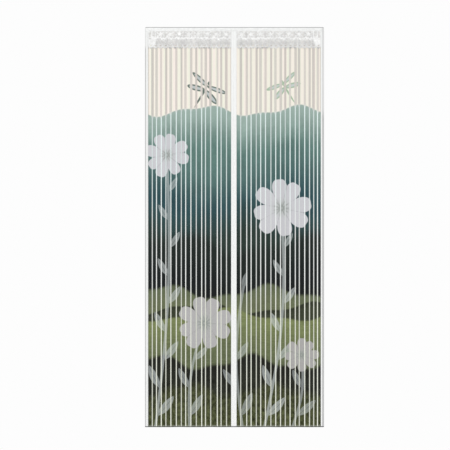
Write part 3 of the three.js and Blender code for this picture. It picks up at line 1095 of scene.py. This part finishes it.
def lace_cords(shells, lace):
    """The garland, straight cords, the corded scallops with their picots, and a ring round each eyelet."""
    x = np.linspace(lace.left + 1.5, lace.right - 1.5, 300)
    closed_tube(shells, lace.on_front(x, garland_drop(x), 0.2), 4.6, 1.6, 8, mark=0.8)
    for line_drop, width in LACE_LINES:
        closed_tube(shells, lace.on_front(x, np.full_like(x, line_drop), 0.1), width, 0.9, 6, mark=0.3)
    steps = 14
    step = np.arange(lace.scallops * steps + 1)
    share = 0.5 - 0.5 * np.cos(math.pi * (step % steps) / steps)
    x = lace.left + (step // steps + share) * lace.pitch
    x = np.clip(x, lace.left + 0.2, lace.right - 0.2)
    edge = lace.edge(x) - 0.45 * LACE_BAND
    # The scallop band is marked below nothing towards each scallop's foot, deeper at some feet: painted shade
    from_bottom = np.abs(share - 0.5) * lace.pitch
    depth = 0.6 + 0.5 * np.sin(5.3 * (step // steps))
    shaded = depth * np.exp(-(from_bottom / 6.0) ** 2)
    closed_tube(shells, lace.on_front(x, edge, 0.0), LACE_BAND, 1.4, 8, mark=0.1 - shaded)
    closed_tube(shells, lace.on_front(x, lace.inner_cord(x), 0.2), 2.0, 1.2, 6, mark=0.6)
    for eyelet in lace.eyelets():
        ring = lace_ring(lace, eyelet, EYELET_DROP, EYELET_RADIUS + 0.9, 14, 0.1)
        closed_tube(shells, ring, 2.0, 1.3, 6, looped=True, mark=0.4)
        for place in PICOT_PLACES:
            picot_x = eyelet + place * lace.pitch
            loop = lace_ring(lace, picot_x, lace.edge(picot_x) + 0.6, PICOT_RADIUS, 9, -0.2)
            closed_tube(shells, loop, 0.8, 0.8, 4, looped=True, mark=0.5)


def lace_valance(panel, material):
    """The whole lace of one panel, marked by how white it is worked and where shade is painted on it."""
    lace = Lace(panel)
    motifs = lace_motifs(lace)
    shells = Shells()
    lace_ground(shells, lace, motifs)
    lace_cords(shells, lace)
    for motif in motifs:
        lace_pad(shells, lace, *motif)
    piece = make_piece(f"valance_{panel.side}", shells, material, sharp=60)
    set_field(piece, "worked_and_shade", np.concatenate(shells.marks))
    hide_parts(f"lace_{panel.side}")
    return piece


# Folded tapes and their stitching

class Tape:
    """A tape folded round an edge: out is the way from the free edges to the fold."""

    def __init__(self, node, fold, out, along):
        low, high = node_box(node)
        self.node = node
        self.out = np.array(out, float)
        self.along = np.array(along, float)
        self.middle_y = (low[1] + high[1]) / 2
        self.outer = (high[1] - low[1]) / 2
        self.width = np.abs(self.out) @ (high - low)
        self.fold = np.array(fold, float)
        self.length = np.abs(self.along) @ (high - low)

    def points(self, inward, thick, along):
        """Points at a place inward from the fold, a place through the fold and a place along the tape."""
        inward, thick, along = np.broadcast_arrays(inward, thick, along)
        across = np.array([0.0, 1.0, 0.0])
        return (self.fold - self.out * inward[..., None] + across * (self.middle_y + thick)[..., None]
                + self.along * along[..., None])


def edge_shade(reach, distance):
    """Full painted shade at an edge, none beyond its reach."""
    return 1 - ease(reach - 1, reach + 1, distance)


def heading_shade(inward, along):
    """Painted shade along the fold, and at the ends as faint as on the side tapes that they cover, with a
    faint grey all over.
    """
    from_right = 2 * cad_high.x / MM - along
    ends = np.maximum(right_shade(from_right, 0.0), 0.22 * edge_shade(5.0, along))
    return np.maximum(np.maximum(0.85 * edge_shade(4.0, inward), ends), 0.02)


def left_shade(inward, along):
    """Painted shade along the left fold, fainter beside the lace, on a tape that is a little grey all over.
    """
    fold = 0.68 * edge_shade(5.0, inward) * (0.35 + 0.65 * ease(76, 86, along))
    return np.maximum(fold, 0.11)


def right_shade(inward, along):
    """A grey line of painted shade inside the right fold, which is less shaded itself, both fainter on the
    upper part.
    """
    below = 0.35 * ease(380, 440, along)
    fold = edge_shade(5.0, inward)
    line = edge_shade(8.5, inward) - fold
    return line * (0.55 + 1.1 * below) + fold * (0.25 + below)


def no_shade(inward, along):
    return 0.0


def rounded_ends(tape, inward, along, corners):
    """Places along a tape, drawn in beside the fold so that its first and last ends have round corners."""
    for corner, end, way in zip(corners, (0.0, tape.length), (1, -1)):
        drawn_in = corner - np.sqrt(corner ** 2 - np.clip(corner - inward, 0, corner) ** 2)
        along = along + way * drawn_in * np.clip(1 - np.abs(along - end) / TAPE_STEP, 0, 1)
    return along


def folded_tape(name, tape, material, shading, corners):
    """The tape's two legs and its round fold, as one thick sheet, with soft free edges."""
    radius = tape.outer
    legs = np.linspace(tape.width, radius, LEG_STEPS, endpoint=False)
    legs = np.concatenate([[tape.width, tape.width - 0.5], legs[1:]])
    turn = np.linspace(-math.pi / 2, math.pi / 2, FOLD_STEPS + 1)

    def section(reach):
        """Places inward from the fold and through it, from the front leg round to the back leg."""
        leg = np.full(len(legs), reach)
        inward = np.concatenate([legs, radius - reach * np.cos(turn), legs[::-1]])
        return inward, np.concatenate([-leg, reach * np.sin(turn), leg])

    inward, outer = section(radius)
    inner_inward, inner = section(radius - TAPE_THICKNESS)
    outer[[0, -1]] *= (radius - 0.3) / radius
    rows = np.linspace(9, tape.length - 9, int(tape.length / TAPE_STEP) + 1)
    rows = np.concatenate([[0, 3, 6], rows, tape.length - np.array([6, 3, 0])])[:, None]
    on_leg = np.abs(outer) > 0.99 * radius
    swell = 0.09 * np.sin(rows / 7.1 + 2 * np.sin(rows / 83)) * on_leg * np.sign(outer)
    front = tape.points(inward, outer + swell, rounded_ends(tape, inward, rows, corners))
    back = tape.points(inner_inward, inner, rounded_ends(tape, inner_inward, rows, corners))
    shells = Shells()
    closed_sheet(shells, front, back)
    piece = make_piece(name, shells, material, sharp=60)
    # How grey each point is: painted shade along the folds and ends, and a faint grey tone
    shade_and_grey = np.broadcast_to(shading(inward, rows), front.shape[:2])
    set_field(piece, "shade_and_grey", np.tile(shade_and_grey.ravel(), 2))
    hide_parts(tape.node)
    return piece


def stitches(shells, starts, along, out, rng):
    """A row of stitches that sit on the cloth at the given places."""
    ring = turns(STITCH_SIDES)[:, None]
    side = np.cross(along, out)
    tip = along * STITCH_LENGTH / 2
    rim = (STITCH_WIDTH / 2 * np.cos(ring) * side
           + STITCH_HEIGHT * (0.45 + 0.55 * np.sin(ring)) * out)
    shape = np.concatenate([[-tip], rim - STITCH_SHOULDER * tip, rim + STITCH_SHOULDER * tip, [tip]])
    first = 1 + np.arange(STITCH_SIDES)
    second = first + STITCH_SIDES
    next_first, next_second = np.roll(first, -1), np.roll(second, -1)
    tips = np.concatenate([
        np.stack([np.zeros_like(first), next_first, first], axis=-1),
        np.stack([np.full_like(first, len(shape) - 1), second, next_second], axis=-1),
    ])
    bands = np.stack([first, next_first, next_second, second], axis=-1)
    count = len(starts)
    jitter = rng.normal(0, 0.12, (count, 1)) * side + rng.normal(0, 0.1, (count, 1)) * along
    points = (np.asarray(starts) + jitter)[:, None, :] + shape
    offset = (np.arange(count) * len(shape))[:, None, None]
    shells.add(points, (bands + offset).reshape(-1, 4), (tips + offset).reshape(-1, 3))


def tape_stitching(name, tape, insets, material, rng):
    """Rows of stitches along both faces of a folded tape."""
    places = np.arange(STITCH_PITCH, tape.length - STITCH_PITCH, STITCH_PITCH)
    shells = Shells()
    for inset in insets:
        for facing in (-1, 1):
            starts = tape.points(np.full(len(places), tape.width - inset),
                                 np.full(len(places), facing * tape.outer), places)
            stitches(shells, starts, tape.along, np.array([0.0, facing, 0.0]), rng)
    return make_piece(name, shells, material, sharp=80)


def hem_stitching(panel, material, rng):
    """One row of stitches along the top of the doubled hem, front and back."""
    x = np.arange(panel.free[0] + STITCH_PITCH, panel.free[1] - STITCH_PITCH, STITCH_PITCH)
    drop = np.full_like(x, HEM_TOP + HEM_STITCH_INSET)
    from_stripe = np.abs(x[:, None] - panel.stripes).min(axis=1)
    half = NET_HALF + HEM_RISE + np.interp(from_stripe, (STRIPE_SHOULDER, STRIPE_FOOT), (STRIPE_RISE, 0))
    middle = flute_y(panel, x, drop) + pucker_y(panel, x, drop)
    shells = Shells()
    for facing in (-1, 1):
        starts = np.stack([x, middle + facing * half, -drop], axis=-1)
        stitches(shells, starts, np.array([1.0, 0.0, 0.0]), np.array([0.0, facing, 0.0]), rng)
    return make_piece(f"hem_stitching_{panel.side}", shells, material, sharp=80)


# The curtain

def build_curtain():
    """Makes every piece of the curtain."""
    net, white_tape = net_material(), tape_material()
    lace, thread = lace_material(), thread_material()
    rng = np.random.default_rng(7)
    low, high = node_box("heading_tape")
    heading = Tape("heading_tape", (low[0], 0, high[2]), (0, 0, 1), (1, 0, 0))
    heading_end = -low[2] + GAP
    binding = folded_tape("heading_binding", heading, white_tape, heading_shade, HEADING_CORNERS)
    seam = tape_stitching("heading_stitching", heading, HEADING_STITCH_INSETS, thread, rng)
    for side in SIDES:
        panel = Panel(side)
        outward = -1 if panel.outer_is_left else 1
        cloth = net_panel(panel, heading_end, net)
        hem = hem_stitching(panel, thread, rng)
        valance = lace_valance(panel, lace)
        # Each side tape's painted shade along its fold
        side_shade = left_shade if panel.outer_is_left else right_shade
        for place, way, shading, corners in (("side", outward, side_shade, SIDE_CORNERS),
                                          ("centre", -outward, no_shade, CENTRE_CORNERS)):
            node = f"{place}_tape_{side}"
            low, high = node_box(node)
            fold_x = high[0] if way > 0 else low[0]
            tape = Tape(node, (fold_x, 0, high[2]), (way, 0, 0), (0, 0, -1))
            binding = folded_tape(f"{place}_binding_{side}", tape, white_tape, shading, corners)
            seam = tape_stitching(f"{place}_stitching_{side}", tape, (STITCH_INSET,), thread, rng)


# Stage, light and camera

def area_light(name, place, size, power):
    light = bpy.data.lights.new(name, "AREA")
    light.shape = "SQUARE"
    light.size = size
    light.energy = power
    lamp = bpy.data.objects.new(name, light)
    lamp.location = place
    lamp.rotation_mode = "QUATERNION"
    lamp.rotation_quaternion = (Vector(LIGHT_TARGET) - Vector(place)).to_track_quat("-Z", "Y")
    bpy.context.scene.collection.objects.link(lamp)


def build_floor():
    floor_shader = Shader("pale_floor", roughness=0.7, sheen=0.0)
    where, _ = floor_shader.place()
    grain = floor_shader.noise(where, (3, 3, 3), detail=4)
    floor_shader.colour(floor_shader.mix(grain, ink("floor_dark"), ink("floor_light")))
    turn = turns(FLOOR_SIDES)
    level = np.full(FLOOR_SIDES, -FLOOR_DROP)
    rim = np.stack([FLOOR_RADIUS * np.cos(turn), FLOOR_RADIUS * np.sin(turn), level], axis=-1)
    mesh = bpy.data.meshes.new("floor")
    mesh.from_pydata((rim * MM).tolist(), [], [list(range(FLOOR_SIDES))])
    mesh.materials.append(floor_shader.material)
    floor = bpy.data.objects.new("floor", mesh)
    bpy.context.scene.collection.objects.link(floor)


def build_lights():
    """A sky that is white to the camera and softer as a light, and three soft lamps."""
    world = bpy.data.worlds.new("studio")
    world.use_nodes = True
    bpy.context.scene.world = world
    tree = world.node_tree
    seen = tree.nodes["Background"]
    seen.inputs["Color"].default_value = ink("backdrop")
    soft = tree.nodes.new("ShaderNodeBackground")
    soft.inputs["Color"].default_value = (1.0, 1.0, 1.0, 1.0)
    soft.inputs["Strength"].default_value = SKY_STRENGTH
    path = tree.nodes.new("ShaderNodeLightPath")
    either = tree.nodes.new("ShaderNodeMixShader")
    tree.links.new(path.outputs["Is Camera Ray"], either.inputs["Fac"])
    tree.links.new(soft.outputs[0], either.inputs[1])
    tree.links.new(seen.outputs[0], either.inputs[2])
    tree.links.new(either.outputs[0], tree.nodes["World Output"].inputs["Surface"])

    for name, place, size, power in LIGHTS:
        area_light(name, place, size, power)


def build_camera():
    camera_data = bpy.data.cameras.new("camera")
    camera_data.lens = LENS
    camera_data.sensor_width = SENSOR
    camera = bpy.data.objects.new("camera", camera_data)
    away = FRAME_WIDTH / SENSOR * LENS
    camera.location = (FRAME_MIDDLE[0] * MM, -away * MM, FRAME_MIDDLE[1] * MM)
    camera.rotation_euler = (math.pi / 2, 0, 0)
    camera_data.clip_end = 100.0
    bpy.context.scene.collection.objects.link(camera)
    bpy.context.scene.camera = camera
    bpy.context.scene.view_settings.view_transform = "Standard"


build_camera()
build_floor()
build_lights()
build_curtain()
